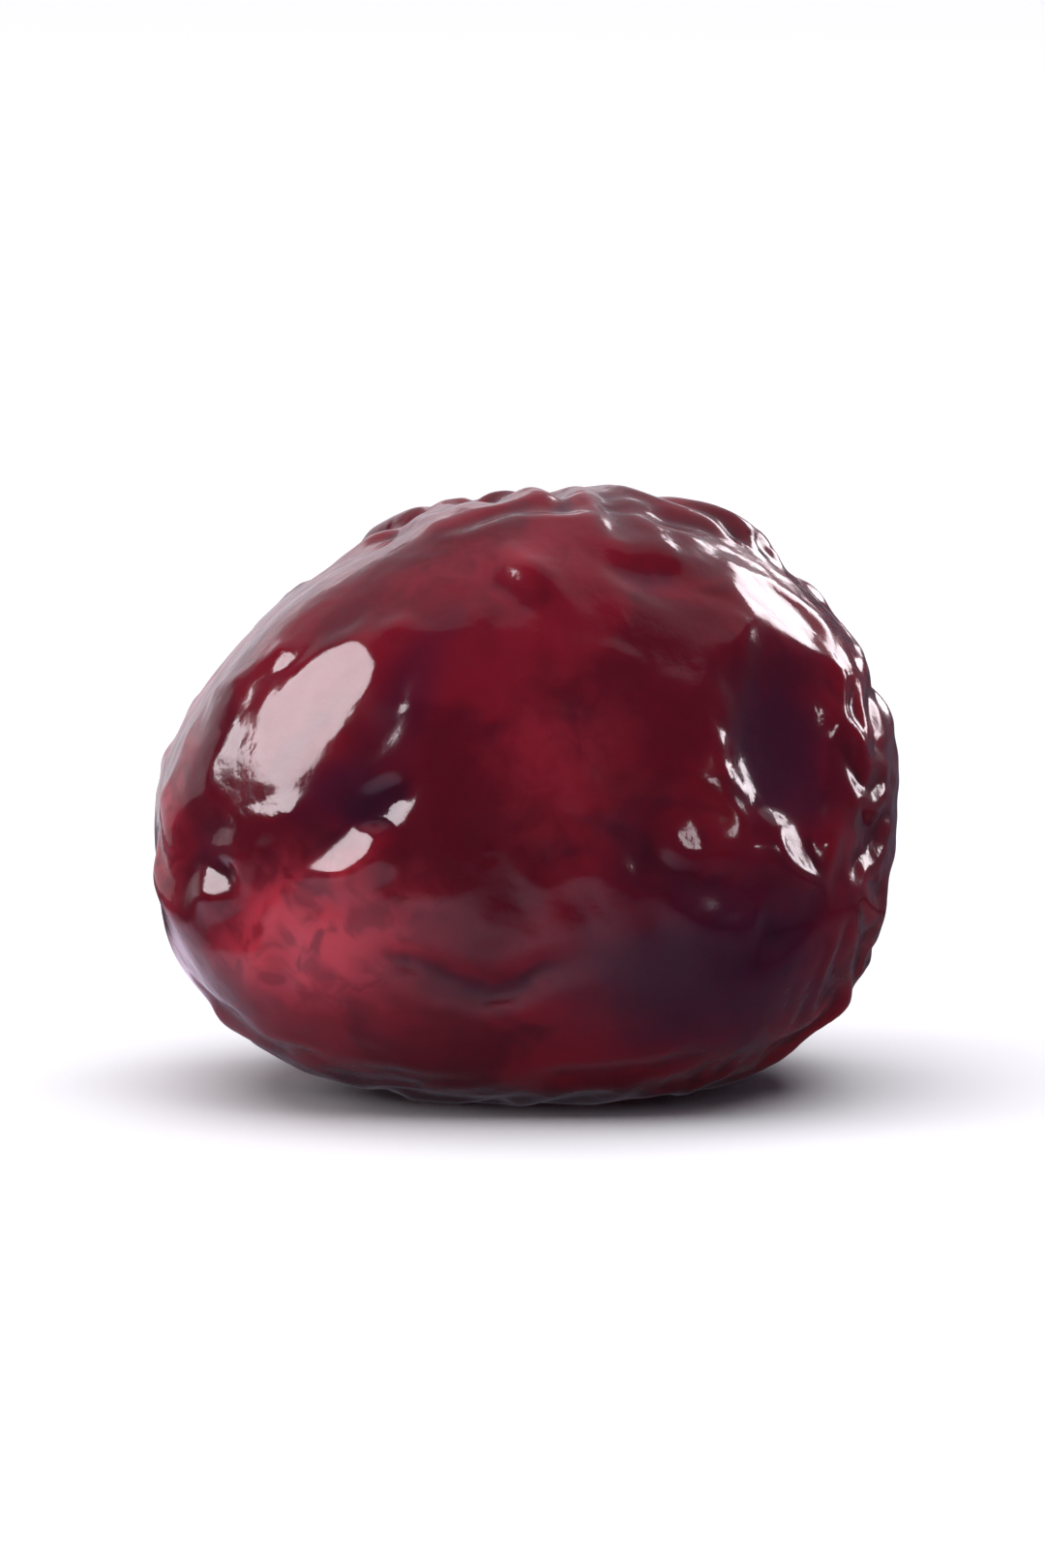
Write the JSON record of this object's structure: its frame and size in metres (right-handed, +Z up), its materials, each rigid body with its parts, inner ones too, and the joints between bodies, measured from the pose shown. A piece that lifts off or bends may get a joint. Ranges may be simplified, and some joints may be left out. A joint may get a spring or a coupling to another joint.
{
  "type": "dried sour cherry",
  "caption": "Whole dried sour cherry: plump oval fruit with glossy, wrinkled dark red skin, a puckered stem end and a small flat spot that it lies on.",
  "frame": {"origin": "on the resting surface, under the middle of the fruit's bounding box", "axes": "+Z up, +X along the fruit's longest side, -Y towards the side that shows in the picture"},
  "size_m": [0.016, 0.0144, 0.013],
  "materials": {
    "cherry_skin": "glossy"
  },
  "bodies": {
    "root": {"dried_cherry": "cherry_skin"}
  },
  "joints": []
}
